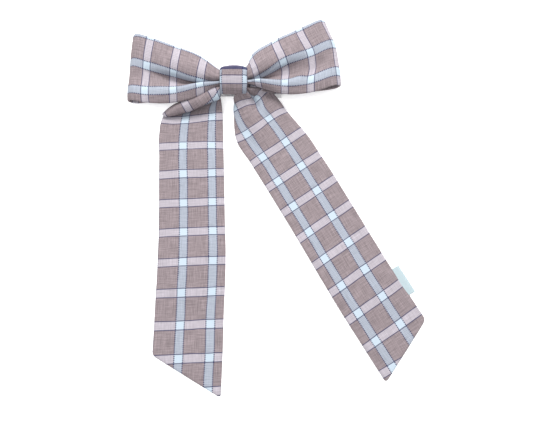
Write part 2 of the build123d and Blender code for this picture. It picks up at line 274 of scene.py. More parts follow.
# ---- Cloth shapes -------------------------------------------------------------------------
def ease(knots, values, at):
    """Smooth curve through values at uneven knots, along their first axis."""
    knots, values, at = np.asarray(knots, float), np.asarray(values, float), np.asarray(at, float)
    step = np.diff(knots)
    slope = np.diff(values, axis=0) / step.reshape(-1, *[1] * (values.ndim - 1))
    weight = step.reshape(-1, *[1] * (values.ndim - 1))
    tangent = np.empty_like(values)
    tangent[0], tangent[-1] = slope[0], slope[-1]
    tangent[1:-1] = (slope[:-1] * weight[1:] + slope[1:] * weight[:-1]) / (weight[1:] + weight[:-1])
    i = np.clip(np.searchsorted(knots, at, side="right") - 1, 0, len(knots) - 2)
    shape = (-1,) + (1,) * (values.ndim - 1)
    h = step[i].reshape(shape)
    t = ((at - knots[i]) / step[i]).reshape(shape)
    return ((2 * t**3 - 3 * t**2 + 1) * values[i] + (t**3 - 2 * t**2 + t) * h * tangent[i]
            + (-2 * t**3 + 3 * t**2) * values[i + 1] + (t**3 - t**2) * h * tangent[i + 1])


def spaced(low, high, step, edge=True):
    """Even steps from low to high, closer together next to both ends for a rounded rim."""
    near = [0.0, 0.12, 0.35, 0.7, 1.2] if edge else [0.0]
    count = max(2, int(round((high - low - 2 * near[-1]) / step)))
    middle = np.linspace(low + near[-1], high - near[-1], count + 1)
    return np.concatenate([low + np.array(near[:-1]), middle, high - np.array(near[:-1])[::-1]])


def through_net(along_knots, across_knots, net, along, across):
    """Points of a control net's smooth surface; along may differ in each column of across."""
    net = np.asarray(net, float).transpose(1, 0, 2)
    rails = ease(across_knots, net, across)
    columns = [ease(along_knots, rail, along[:, j]) for j, rail in enumerate(rails)]
    return np.stack(columns, axis=1)


def rim(distance, thick):
    """Half the cloth's thickness at this distance from its rounded edge."""
    reach = min(1.2, thick)
    d = np.clip(distance / reach, 0, 1)
    return thick / 2 * np.sqrt(np.maximum(0.0, 1 - (1 - d) ** 2))


def surface_normals(points):
    du = np.gradient(points, axis=0)
    dv = np.gradient(points, axis=1)
    n = np.cross(du, dv)
    length = np.linalg.norm(n, axis=2, keepdims=True)
    return n / np.maximum(length, 1e-9)


def make_object(name, vertices, faces, material, uvs=None, smooth=True):
    mesh = bpy.data.meshes.new(name)
    mesh.from_pydata([tuple(v) for v in np.asarray(vertices) * MM], [], faces)
    if uvs is not None:
        layer = mesh.uv_layers.new(name="weave")
        index = np.empty(len(mesh.loops), int)
        mesh.loops.foreach_get("vertex_index", index)
        layer.data.foreach_set("uv", (np.asarray(uvs) * MM)[index].astype(np.float32).ravel())
    mesh.polygons.foreach_set("use_smooth", [smooth] * len(mesh.polygons))
    mesh.materials.append(material)
    mesh.validate()
    made = bpy.data.objects.new(name, mesh)
    bpy.context.scene.collection.objects.link(made)
    return made


def cloth(name, points, weave, half, material, flip=False):
    """A closed cloth: front and back of a middle surface, meeting where half falls to nothing."""
    n = surface_normals(points) * (-1 if flip else 1)
    rows, columns = half.shape
    front = (points + n * half[..., None]).reshape(-1, 3)
    back = (points - n * half[..., None]).reshape(-1, 3)
    index_front = np.arange(rows * columns).reshape(rows, columns)
    border = half <= 1e-9
    index_back = index_front.copy()
    inner = ~border
    index_back[inner] = rows * columns + np.arange(inner.sum())
    vertices = np.concatenate([front, back[inner.ravel()]])
    uv = weave.reshape(-1, 2)
    uvs = np.concatenate([uv, uv[inner.ravel()]])
    faces = []
    for grid, outward in ((index_front, not flip), (index_back, flip)):
        a, b, c, d = grid[:-1, :-1], grid[1:, :-1], grid[1:, 1:], grid[:-1, 1:]
        quad = np.stack([a, b, c, d] if outward else [a, d, c, b], axis=-1).reshape(-1, 4)
        faces += quad.tolist()
    return make_object(name, vertices, faces, material, uvs)


def border_distance(weave, width, ends=(None, None)):
    """Distance to the strip's side edges, and to its two ends where they are given."""
    across = weave[..., 1]
    distance = np.minimum(across, width - across)
    for end, sign in zip(ends, (1, -1)):
        if end is not None:
            distance = np.minimum(distance, sign * (weave[..., 0] - end))
    return np.maximum(distance, 0)


def stiffener(name, points, weave, flip=False):
    """A thin sheet of interfacing with closed edges, inside the cloth."""
    half = np.full(points.shape[:2], STIFFENER_HALF)
    half[[0, -1], :] = 0
    half[:, [0, -1]] = 0
    return cloth(name, points, weave, half, INTERFACING, flip=flip)


# ---- Loops --------------------------------------------------------------------------------
LOOP_RAILS = [0, 5, 11, 18.8, 23.5, 30, 37.6, LOOP_WIDTH]

# Stations from inside the knot out to the fold; each row runs from the top edge downwards.
LEFT_LOOP_FRONT = [
    (-0.6, [(-0.4, 6.6, 14.9), (-0.4, 6.3, 16.4), (-0.4, 4.6, 17.2), (-0.4, 3.2, 16.4),
            (-0.4, 2.6, 15.0), (-0.4, 2.0, 14.8), (-0.4, 1.2, 16.0), (-0.4, 0.7, 14.6)]),
    (3.0, [(-4, 6.4, 15.4), (-4, 5.9, 17.0), (-4, 4.2, 17.8), (-4, 2.6, 16.6),
           (-4, 2.1, 15.0), (-4, 1.5, 14.8), (-4, 0.7, 16.2), (-4, 0.1, 14.8)]),
    (8.5, [(-9.0, 10.8, 14.6), (-8.8, 7.4, 17.4), (-8.8, 3.0, 18.4), (-9.2, 1.6, 13.6),
           (-9.4, 2.4, 11.6), (-9.4, 1.2, 12.2), (-9.2, -0.4, 17.2), (-9.2, -1.6, 14.2)]),
    (19.4, [(-17.6, 17.8, 14.4), (-18.2, 14.0, 16.9), (-19.0, 7.4, 19.3), (-20.4, 1.5, 15.2),
            (-20.9, 2.7, 11.2), (-20.9, 1.2, 11.0), (-20.0, -1.6, 17.2), (-20.3, -7.4, 13.0)]),
    (38.8, [(-36.0, 27.1, 12.8), (-36.2, 22.9, 14.4), (-36.8, 15.0, 16.6), (-38.0, 7.7, 13.8),
            (-38.8, 6.0, 9.6), (-38.9, 2.2, 9.6), (-37.8, -4.4, 14.6), (-37.8, -12.0, 11.0)]),
    (58.2, [(-54.4, 34.8, 11.2), (-54.8, 30.0, 12.2), (-55.6, 22.4, 12.9), (-56.3, 14.2, 11.4),
            (-56.7, 10.4, 9.4), (-57.0, 4.8, 9.4), (-56.8, -3.7, 11.6), (-56.4, -11.4, 9.8)]),
    (69.4, [(-65.4, 38.2, 10.2), (-65.7, 33.4, 10.4), (-66.1, 26.3, 10.2), (-66.7, 17.4, 9.4),
            (-67.0, 13.0, 8.8), (-67.2, 6.2, 8.8), (-67.6, -1.9, 9.4), (-67.8, -9.0, 7.9)]),
]
LEFT_FOLD = (-1.4, 0.1, -1.9)
LEFT_LOOP_BACK = [
    (86.5, (-54.5, 35.0), (-56.6, -9.6), 5.8, 0.2),
    (105.5, (-36.2, 27.2), (-38.0, -10.2), 7.6, 0.3),
    (124.5, (-17.8, 18.0), (-20.2, -6.4), 9.8, 0.3),
    (134.0, (-9.5, 7.0), (-9.5, -0.6), 12.4, 0.5),
    (139.5, (-4.0, 6.2), (-4.0, 0.0), 12.6, 0.4),
    (143.1, (-0.4, 6.3), (-0.4, 0.7), 12.4, 0.3),
]
RIGHT_LOOP_FRONT = [
    (-0.6, [(0.4, 6.6, 14.9), (0.4, 6.3, 16.4), (0.4, 4.6, 17.2), (0.4, 3.2, 16.4),
            (0.4, 2.6, 15.0), (0.4, 2.0, 14.8), (0.4, 1.2, 16.0), (0.4, 0.7, 14.6)]),
    (4.0, [(4, 6.4, 15.4), (4, 5.9, 17.0), (4, 4.4, 17.8), (4, 2.8, 16.6),
           (4, 2.3, 15.0), (4, 1.7, 14.8), (4, 0.9, 16.2), (4, 0.1, 14.8)]),
    (11.2, [(10.4, 12.2, 14.6), (10.5, 8.9, 17.4), (10.8, 4.8, 18.6), (11.6, 3.0, 13.8),
            (12.0, 3.8, 11.8), (12.0, 2.6, 12.4), (11.8, 0.7, 17.2), (12.0, -0.4, 14.2)]),
    (19.4, [(12.6, 18.9, 14.4), (13.6, 13.5, 17.8), (15.5, 7.6, 19.2), (17.0, 4.3, 13.8),
            (17.6, 5.0, 11.0), (17.6, 3.6, 11.0), (17.3, 1.1, 17.2), (18.6, -2.2, 13.2)]),
    (38.8, [(28.7, 31.8, 13.2), (29.8, 27.0, 15.2), (31.8, 20.8, 17.0), (34.3, 15.1, 15.2),
            (35.6, 12.6, 11.2), (36.0, 7.6, 9.2), (35.4, 0.6, 14.8), (35.2, -6.2, 11.6)]),
    (58.2, [(45.1, 40.8, 11.8), (46.3, 35.8, 13.2), (49.2, 29.4, 14.0), (52.4, 22.9, 13.2),
            (53.5, 18.8, 11.2), (54.0, 12.4, 9.2), (52.4, 4.0, 12.2), (52.4, -4.3, 9.8)]),
    (77.4, [(61.3, 48.5, 10.2), (62.6, 44.3, 10.4), (65.0, 38.5, 10.2), (68.4, 30.6, 9.6),
            (69.2, 25.8, 8.9), (69.9, 19.1, 8.8), (71.0, 11.0, 9.4), (72.0, 1.9, 7.7)]),
]
RIGHT_FOLD = (1.3, 0.3, -1.9)
RIGHT_LOOP_BACK = [
    (93.0, (45.6, 39.6), (52.6, -2.2), 6.0, 0.2),
    (112.5, (29.0, 30.0), (35.0, -4.4), 7.6, 0.3),
    (131.5, (13.8, 17.2), (18.4, -2.8), 9.9, 0.3),
    (141.5, (9.5, 7.0), (9.5, -0.6), 12.4, 0.5),
    (147.0, (4.0, 6.2), (4.0, 0.0), 12.6, 0.4),
    (150.6, (0.4, 6.3), (0.4, 0.7), 12.4, 0.3),
]


def loop_net(front, fold, back):
    """The whole strip of a loop: front panel, round its outer fold, and back panel."""
    knots = [u for u, _ in front]
    rows = [row for _, row in front]
    last = np.array(rows[-1], float)
    knots += [knots[-1] + 2.5, knots[-1] + 5.0]
    rows += [last + fold, last + np.array((-0.25 * fold[0], 0, 2 * fold[2]))]
    for u, top, bottom, level, pleat in back:
        t = np.array(LOOP_RAILS) / LOOP_WIDTH
        wave = -pleat * np.cos(t * 6 * math.pi)
        rows.append(np.stack([top[0] + (bottom[0] - top[0]) * t,
                              top[1] + (bottom[1] - top[1]) * t, level + wave], axis=1))
        knots.append(u)
    return knots, np.array([np.asarray(r, float) for r in rows])


def puckers(points, weave, centre, seed, size):
    """Small soft wrinkles that fan out from the knot and fade towards the ends."""
    along, across = weave[..., 0], weave[..., 1]
    n = surface_normals(points)
    reach, fine, soft = 26.0, 0.16, 0.09
    far = np.linalg.norm(points[..., :2] - np.array(centre), axis=2)
    fade = np.exp(-far / reach)
    rng = np.random.default_rng(seed)
    wave = 0
    for _ in range(5):
        pitch, phase, tilt = rng.uniform(3.2, 8.0), rng.uniform(0, 6.3), rng.uniform(-0.12, 0.12)
        wave = wave + np.sin((across + tilt * along) * 2 * math.pi / pitch + phase)
    broad = 0
    for _ in range(4):
        pitch, phase, tilt = rng.uniform(16, 34), rng.uniform(0, 6.3), rng.uniform(-1.2, 1.2)
        broad = broad + np.sin((along + tilt * across) * 2 * math.pi / pitch + phase)
    return points + n * (size * (fine * wave * fade + soft * broad))[..., None]


def creased(points, weave, creases):
    """Sharp creases pressed into the cloth, each along a line given in the cloth's own measures."""
    n = surface_normals(points)
    for line, depth, width in creases:
        line = np.array(line, float)
        t = np.linspace(0, 1, 41)
        path = ease(np.linspace(0, 1, len(line)), line, t)
        gap = np.linalg.norm(weave[:, :, None, :] - path, axis=-1)
        nearest = gap.argmin(axis=-1)
        strength = np.sin(math.pi * np.clip(t, 0.02, 0.98)) ** 0.6
        groove = np.exp(-(gap.min(axis=-1) / width) ** 2) * strength[nearest]
        points = points - n * (depth * groove)[..., None]
    return points


# Creases of the right loop and of the right tail's neck: line (along, across), depth, width.
RIGHT_LOOP_CREASES = [
    ([(40, 38.5), (49, 35.5), (55, 31), (57.5, 24)], 1.0, 2.6),
    ([(14, 21.5), (26, 23.5), (38, 26.5)], 0.7, 2.0),
]
RIGHT_NECK_CREASES = [([(-13, 23.5), (-6, 25.0), (0, 24.6), (6, 23.4)], 1.5, 1.7)]


def make_loop(side, front, fold, back, seed):
    knots, net = loop_net(front, fold, back)
    across = spaced(0, LOOP_WIDTH, 0.9)
    along = spaced(knots[0], knots[-1], 0.9)
    grid = np.repeat(along[:, None], len(across), axis=1)
    points = through_net(knots, LOOP_RAILS, net, grid, across)
    weave = np.stack([grid, np.broadcast_to(across, grid.shape)], axis=-1)
    points = puckers(points, weave, (0, 2), seed, 1.0)
    if side == "right":
        points = creased(points, weave, RIGHT_LOOP_CREASES)
    distance = border_distance(weave, LOOP_WIDTH, (knots[0], knots[-1]))
    skin = cloth(f"loop_{side}_cloth", points, weave, rim(distance, LOOP_THICK), PLAID,
                 flip=(side == "right"))
    # the interfacing lies inside, short of every edge
    inner = (across > LOOP_SEAM) & (across < LOOP_WIDTH - LOOP_SEAM)
    sheet = stiffener(f"loop_{side}_stiffener", points[4:-4][:, inner], weave[4:-4][:, inner],
                      flip=(side == "right"))
    return skin, sheet, knots[-1] - knots[0]


for side, front, fold, back, seed in (
        ("left", LEFT_LOOP_FRONT, LEFT_FOLD, LEFT_LOOP_BACK, 3),
        ("right", RIGHT_LOOP_FRONT, RIGHT_FOLD, RIGHT_LOOP_BACK, 8)):
    skin, sheet, length = make_loop(side, front, fold, back, seed)
    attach(skin, "bow")
    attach(sheet, "bow")
    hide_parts(f"loop_{side}")
    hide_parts(f"loop_{side}_interfacing")


# ---- Tails --------------------------------------------------------------------------------
LEFT_TAIL_RAILS = [0, 8, 16.2, 24, 35.2, TAIL_WIDTH]
LEFT_TAIL_TOP = [
    (-35.5, [(-0.4, -5.0, 12.2), (-0.4, -4.7, 12.7), (-0.4, -4.2, 12.9), (-0.4, -3.6, 12.7),
             (-0.4, -2.9, 12.4), (-0.4, -2.3, 12.0)]),
    (-30.0, [(-6, -5.2, 11.4), (-6, -4.9, 11.8), (-6, -4.6, 12.0), (-5.8, -4.2, 12.0),
             (-5.5, -3.8, 11.8), (-5.2, -3.4, 11.5)]),
    (-22.5, [(-13.4, -6.1, 9.8), (-12.6, -5.9, 10.2), (-11.6, -5.7, 10.5), (-10.4, -5.4, 10.6),
             (-8.9, -5.0, 10.4), (-7.5, -4.7, 9.9)]),
    (-15.0, [(-27.0, -10.6, 6.0), (-23.5, -10.2, 6.2), (-20.0, -9.8, 6.4), (-16.5, -9.3, 6.7),
             (-11.0, -8.6, 6.8), (-6.9, -8.2, 6.4)]),
    (-7.0, [(-43.0, -15.2, 2.4), (-36.0, -14.8, 2.5), (-29.0, -14.2, 2.8), (-22.0, -13.4, 3.1),
            (-12.6, -12.8, 3.6), (-6.4, -12.4, 3.8)]),
    (0.8, [(-47.2, -21.2, 1.9), (-39.0, -22.1, 2.1), (-31.0, -21.7, 2.3), (-23.4, -20.8, 2.5),
           (-12.8, -19.5, 2.7), (-5.9, -19.0, 2.6)]),
    (9.0, [(-48.3, -29.2, 1.3), (-40.0, -29.4, 1.7), (-31.8, -29.1, 2.1), (-24.0, -28.7, 2.1),
           (-13.0, -28.3, 1.9), (-5.6, -28.1, 1.5)]),
]
# left and right edges of the flat part, by height
LEFT_TAIL_EDGES = [(-48, -47.7, -4.9), (-62, -47.3, -4.4), (-89, -46.3, -3.5),
                   (-110, -46.1, -2.7), (-130, -46.3, -2.8), (-146, -46.6, -3.3),
                   (-170, -47.0, -3.6), (-200, -47.6, -4.4)]
RIGHT_TAIL_RAILS = [0, 8.8, 13.5, 18, 24.5, 28.5, 35, TAIL_WIDTH]
RIGHT_TAIL_TOP = [
    (-21.0, [(0.4, -5.0, 12.6), (0.4, -4.9, 13.4), (0.4, -4.4, 14.2), (0.4, -3.9, 14.6),
             (0.4, -3.4, 14.0), (0.4, -2.9, 13.6), (0.4, -2.5, 14.2), (0.4, -2.1, 12.8)]),
    (-14.0, [(5.2, -5.3, 10.8), (5.2, -5.1, 12.0), (5.8, -4.9, 13.4), (7.0, -4.5, 14.4),
             (8.6, -3.7, 12.4), (8.9, -3.1, 11.8), (9.2, -2.4, 13.0), (9.4, -1.8, 11.8)]),
    (-7.0, [(4.6, -9.2, 3.0), (3.2, -8.2, 6.0), (2.2, -7.6, 9.2), (6.4, -6.9, 12.0),
            (11.6, -5.4, 11.2), (13.0, -5.0, 6.4), (14.2, -3.4, 12.0), (17.8, -0.8, 9.0)]),
    (0.0, [(3.2, -14.6, 1.9), (2.5, -13.1, 5.0), (5.3, -12.0, 7.6), (9.1, -10.4, 8.4),
           (14.9, -8.3, 6.0), (17.5, -6.7, 7.6), (20.9, -2.8, 9.0), (24.4, -1.2, 7.2)]),
    (9.7, [(2.0, -24.4, 1.3), (5.4, -23.0, 4.2), (9.2, -21.2, 5.4), (12.8, -19.4, 5.8),
           (18.0, -16.8, 5.2), (21.2, -14.8, 5.6), (27.0, -10.6, 6.2), (32.2, -8.2, 5.4)]),
    (19.4, [(3.2, -34.0, 1.3), (10.3, -31.0, 2.6), (14.6, -28.4, 3.9), (18.2, -26.2, 4.4),
            (22.9, -22.6, 4.2), (25.9, -20.4, 4.2), (31.0, -17.0, 4.0), (36.8, -14.2, 2.8)]),
]
RIGHT_TAIL_EDGES = [(-50, -14.7, 27.5), (-73, -14.6, 28.1), (-106, -14.8, 27.7),
                    (-133, -15.3, 27.0), (-162, -15.7, 26.6), (-180, -15.5, 27.0),
                    (-215, -15.0, 27.4)]


def turned(points, degrees):
    """Points turned about Z through the frame's origin."""
    a = math.radians(degrees)
    c, s = math.cos(a), math.sin(a)
    out = np.array(points, float)
    out[..., 0], out[..., 1] = (c * points[..., 0] - s * points[..., 1],
                                s * points[..., 0] + c * points[..., 1])
    return out


def tail_net(top, edges, rails, first_u, pitch, turn, lift):
    """Control net of a tail: the gathered top, then the flat strip on the table."""
    knots = [u for u, _ in top]
    rows = [np.array(row, float) for _, row in top]
    t = np.array(rails) / TAIL_WIDTH
    for i, (y, left, right) in enumerate(edges):
        x = left + (right - left) * t
        z = 1.0 + lift * (np.sin(i * 1.9 + 2.4 * t) + 1) * np.sin(math.pi * np.clip(t, 0, 1)) ** 0.7
        row = np.stack([x, np.full_like(x, y), z], axis=1)
        rows.append(turned(row, turn))
        knots.append((-y - first_u) * PINK_STEP / pitch)
    return knots, np.array(rows)


def tail_cloth(side, top, edges, rails, first_u, pitch, turn, ends, pale_phase, seed, lift,
               skew, drift):
    """A tail's cloth and interfacing; skew slants its check and drift slides it lengthwise."""
    knots, net = tail_net(top, edges, rails, first_u, pitch, turn, lift)
    scale = PINK_STEP / pitch
    across = spaced(0, TAIL_WIDTH, 0.95)
    # the slanting end, with its two turned corners rounded
    end_y = ease([0, TAIL_WIDTH], [[ends[0]], [ends[1]]], across)[:, 0]
    corner = 2.6
    for edge_distance in (across, TAIL_WIDTH - across):
        d = np.clip(1 - edge_distance / corner, 0, 1)
        end_y = end_y - corner * (1 - np.sqrt(1 - d**2)) * 0.9
    end_u = (end_y - first_u) * scale
    start_u = knots[0]
    # rough lengths of a tail, whole and below its gathered neck
    rough_length, flat_length = 215.0, 190.0
    rows = spaced(0, 1, 0.9 / 200, edge=False)
    tips = np.array([0.35, 0.7, 0.12]) / rough_length
    rows = np.unique(np.concatenate([rows, 1 - tips, tips]))
    grid = start_u + rows[:, None] * (end_u - start_u)[None, :]
    points = through_net(knots, rails, net, grid, across)
    weave = np.stack([grid, np.broadcast_to(across, grid.shape)], axis=-1)
    points = puckers(points, weave, (0, -6), seed, 0.55)
    if side == "right":
        points = creased(points, weave, RIGHT_NECK_CREASES)
    side_distance = np.minimum(across, TAIL_WIDTH - across)[None, :]
    slope = abs(ends[1] - ends[0]) / TAIL_WIDTH
    end_distance = (1 - rows)[:, None] * (end_u - start_u)[None, :] / math.hypot(1, slope)
    start_distance = rows[:, None] * (end_u - start_u)[None, :]
    distance = np.minimum(np.minimum(side_distance, end_distance), start_distance)
    half = rim(distance, TAIL_THICK)
    # nothing sinks into the table
    points[..., 2] = np.maximum(points[..., 2], half + 0.02)
    # the check was cut a little askew
    pattern = weave.copy()
    flat = np.clip((weave[..., 0] - 8) / 24, 0, 1)
    askew = np.interp(weave[..., 0], *zip(*skew))
    pattern[..., 0] += flat * askew * (weave[..., 1] - TAIL_WIDTH / 2)
    pattern[..., 0] += np.interp(weave[..., 0], *zip(*drift))
    pattern[..., 1] -= pale_phase
    skin = cloth(f"tail_{side}_cloth", points, pattern, half, PLAID)
    # the interfacing starts below the gathered neck and stops short of the cut end
    neck, hem = 26, 2.5
    inside = np.ix_(np.where((rows * rough_length > neck) & ((1 - rows) * flat_length > hem))[0],
                    np.where(side_distance[0] > TAIL_SEAM)[0])
    core = points[inside]
    core[..., 2] = np.maximum(core[..., 2], 0.4)
    sheet = stiffener(f"tail_{side}_stiffener", core, weave[inside])
    length = float((end_u.max() - start_u) / scale)
    area = float((end_u.mean() - start_u) / scale) * TAIL_WIDTH
    return skin, sheet, length, area


TAILS = {
    "left": dict(top=LEFT_TAIL_TOP, edges=LEFT_TAIL_EDGES, rails=LEFT_TAIL_RAILS, first_u=18.4,
                 pitch=19.7, turn=0.0, ends=(173.9, 199.0), pale_phase=16.2, seed=5, lift=0.55,
                 skew=[(0, 0.045), (200, 0.045)],
                 drift=[(0, 0), (50, 0), (74, 0.6), (105, 1.3), (121, 1.2), (152, 0.4), (170, 0)]),
    "right": dict(top=RIGHT_TAIL_TOP, edges=RIGHT_TAIL_EDGES, rails=RIGHT_TAIL_RAILS,
                  first_u=12.2, pitch=19.38, turn=RIGHT_TAIL_TURN, ends=(212.6, 193.6),
                  pale_phase=8.8, seed=12, lift=0.45, skew=[(0, 0.06), (174, 0.06), (192, -0.04)],
                  drift=[(0, 0), (20, 0.6), (40, 1.1), (90, 1.1), (130, 0), (160, -0.6),
                         (185, -1.6)]),
}
# Two points on each tail: the first near the bow, the second further down the tail.
BLENDS = {
    "left": ((-26.0, -17.0, 3.0), (-26.0, -35.0, 3.0)),
    "right": (tuple(turned(np.array([5.75, -22.0, 3.0]), RIGHT_TAIL_TURN)),
              tuple(turned(np.array([5.75, -40.0, 3.0]), RIGHT_TAIL_TURN))),
}
for side, facts in TAILS.items():
    skin, sheet, length, area = tail_cloth(side, **facts)
    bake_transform(skin)
    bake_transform(sheet)
    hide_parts(f"tail_{side}", f"tail_neck_{side}")
    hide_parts(f"tail_{side}_interfacing")


# ---- The diagonal pleat over the left tail ------------------------------------------------
PLEAT_RAILS = [0, 1.7, 4.1, 6.9, 9.6, 12.1]
PLEAT_NET = [
    (0.0, [(-46.2, -17.0, 3.4), (-46.2, -17.3, 3.8), (-45.9, -17.9, 4.1), (-45.4, -18.5, 4.0),
           (-44.9, -18.9, 3.7), (-44.7, -18.3, 3.5)]),
    (9.0, [(-39.0, -11.6, 5.6), (-39.2, -12.8, 7.0), (-38.6, -14.8, 7.8), (-37.8, -16.8, 7.2),
           (-37.0, -18.0, 5.6), (-36.8, -15.8, 5.0)]),
    (18.7, [(-31.6, -9.4, 8.2), (-31.8, -10.6, 9.6), (-30.6, -12.6, 10.4), (-29.2, -14.8, 9.4),
            (-28.0, -16.2, 7.2), (-27.8, -13.8, 6.4)]),
    (28.0, [(-23.2, -6.6, 10.4), (-23.4, -7.8, 11.8), (-22.2, -9.8, 12.6), (-20.8, -12.0, 11.6),
            (-19.6, -13.5, 9.6), (-19.4, -11.4, 8.6)]),
    (36.5, [(-15.0, -3.6, 12.4), (-15.0, -4.6, 13.7), (-13.8, -6.6, 14.0), (-12.4, -8.9, 12.6),
            (-11.4, -10.3, 10.5), (-11.8, -8.8, 9.6)]),
    (41.0, [(-10.6, -2.2, 13.0), (-10.4, -3.0, 14.3), (-9.6, -5.2, 14.5), (-8.6, -7.6, 12.9),
            (-8.0, -8.8, 10.8), (-8.4, -7.4, 10.0)]),
    (45.5, [(-7.0, -1.9, 13.0), (-6.9, -2.4, 14.1), (-6.7, -3.8, 14.3), (-6.6, -5.2, 13.2),
            (-6.6, -5.6, 12.0), (-6.8, -5.0, 11.4)]),
    (52.0, [(-0.5, -2.2, 13.4), (-0.5, -2.4, 14.2), (-0.5, -3.2, 14.5), (-0.5, -4.2, 14.2),
            (-0.5, -4.7, 13.4), (-0.5, -4.3, 12.8)]),
]


def make_pleat():
    knots = [u for u, _ in PLEAT_NET]
    net = [row for _, row in PLEAT_NET]
    across = spaced(0, PLEAT_RAILS[-1], 0.8)
    along = spaced(knots[0], knots[-1], 0.8)
    grid = np.repeat(along[:, None], len(across), axis=1)
    points = through_net(knots, PLEAT_RAILS, net, grid, across)
    weave = np.stack([grid, np.broadcast_to(across, grid.shape)], axis=-1)
    distance = border_distance(weave, PLEAT_RAILS[-1], (knots[0], knots[-1]))
    # its pale stripe runs out over the lower edge, away from the knot
    stripe = ease([0, 28, 37, 41, 46, 52],
                  [[15.5], [13.0], [9.8], [7.8], [5.6], [4.0]], along)
    pattern = np.stack([grid, np.broadcast_to(across, grid.shape) - stripe], axis=-1)
    piece = cloth("tail_left_pleat", points, pattern, rim(distance, PLEAT_THICK), PLAID)
    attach(piece, "bow")


make_pleat()


# ---- Knot ---------------------------------------------------------------------------------
# Middle line of the band in (Y, Z): the back, then round the lower side, front and upper side.
KNOT_PROFILE = [(-2.3, 9.8), (-4.8, 10.3), (-5.8, 11.9), (-5.8, 14.4), (-4.6, 16.7), (-2.0, 18.5),
                (1.5, 19.8), (5.3, 20.5), (7.9, 20.3), (9.1, 18.0), (9.3, 14.5), (8.7, 10.8),
                (6.2, 9.7), (1.2, 9.6)]
KNOT_LEFT, KNOT_RIGHT, KNOT_WIDTH = -7.0, 10.9, 18.6
KNOT_CLOTH = 22.2                       # width of its cloth, drawn together at both edges
KNOT_SLIP = 0.8                         # its check starts this far above Y = 0 on the front


def knot_profile():
    """The band's middle line in YZ, once round; its lower front leans in towards the back."""
    corners = np.array(KNOT_PROFILE, float)
    ring = np.vstack([corners[-3:], corners, corners[:3]])
    steps = np.linalg.norm(np.diff(ring, axis=0), axis=1)
    arc = np.concatenate([[0], np.cumsum(steps)])
    line = ease(arc, ring, np.linspace(arc[3], arc[3 + len(corners)], 161))
    return line[:, 0], line[:, 1]


def make_knot():
    """The wrapped band, a little narrower at its lower side, with its side edges turned in."""
    y, z = knot_profile()
    ring = np.stack([y, z], axis=1)
    arc = np.concatenate([[0], np.cumsum(np.linalg.norm(np.diff(ring, axis=0), axis=1))])
    total = arc[-1]
    along = np.linspace(0, total, int(round(total / 0.55)) + 1)
    line = np.stack([np.interp(along, arc, y), np.interp(along, arc, z)], axis=1)
    across = spaced(0, KNOT_WIDTH, 0.7)
    rows, columns = len(along), len(across)
    points = np.empty((rows, columns, 3))
    t = across / KNOT_WIDTH
    for i, (py, pz) in enumerate(line):
        front = float(np.clip((pz - 12.0) / 8.3, 0, 1))
        low = float(np.clip((-2.5 - py) / 5.5, 0, 1))
        top = float(np.clip((py - 6.0) / 3.0, 0, 1))
        left, right = KNOT_LEFT + 0.5 * low, KNOT_RIGHT - 0.5 * low
        out = np.array([py - 0.5, pz - 15.1])
        out = out / max(1e-6, np.linalg.norm(out))
        crown = np.sin(math.pi * t) * (0.35 * front + 1.6 * top)
        edge = 1.1 * (np.clip(1 - t / 0.16, 0, 1) ** 2 + np.clip((t - 0.84) / 0.16, 0, 1) ** 2)
        fold = 0.22 * np.sin(t * 15.0 + 0.4 + 0.03 * along[i]) * (0.3 + low)
        points[i, :, 0] = left + (right - left) * t
        points[i, :, 1] = py + out[0] * (fold * 0.6 + crown * top - edge * 0.7)
        points[i, :, 2] = pz + out[1] * (fold * 0.4 + 0.35 * np.sin(math.pi * t) * front - edge)
    front_middle = along[np.argmin(np.abs(line[:, 0]) + (line[:, 1] < 15) * 100)]
    # past the top of the front the cloth is tucked, so that a navy pinstripe lies along the fold;
    # over the upper chamfer the cloth's measure is squeezed so this pinstripe is stretched wide, as
    # painted shade for the dark gap behind the knot's top
    strip = np.interp(along - front_middle - KNOT_SLIP, [-30, 4.4, 5.6, 6.0, 8.6, 10.0, 30],
                      [-30, 4.4, 15.9, 16.45, 17.05, 18.4, 38.4])
    cloth_x = np.interp(KNOT_LEFT + (KNOT_RIGHT - KNOT_LEFT) * t,
                        [KNOT_LEFT, -5.6, 7.9, 10.4, KNOT_RIGHT], [-19.4, -16.15, -2.65, 2.65, 3.6])
    weave = np.stack([np.repeat(strip[:, None], columns, axis=1),
                      np.broadcast_to(cloth_x, (rows, columns))], axis=-1)
    edge_distance = np.minimum(across, KNOT_WIDTH - across)
    half = np.broadcast_to(rim(edge_distance, KNOT_THICK), (rows, columns))
    return closed_band("knot_band", points, weave, half, PLAID), total, KNOT_CLOTH


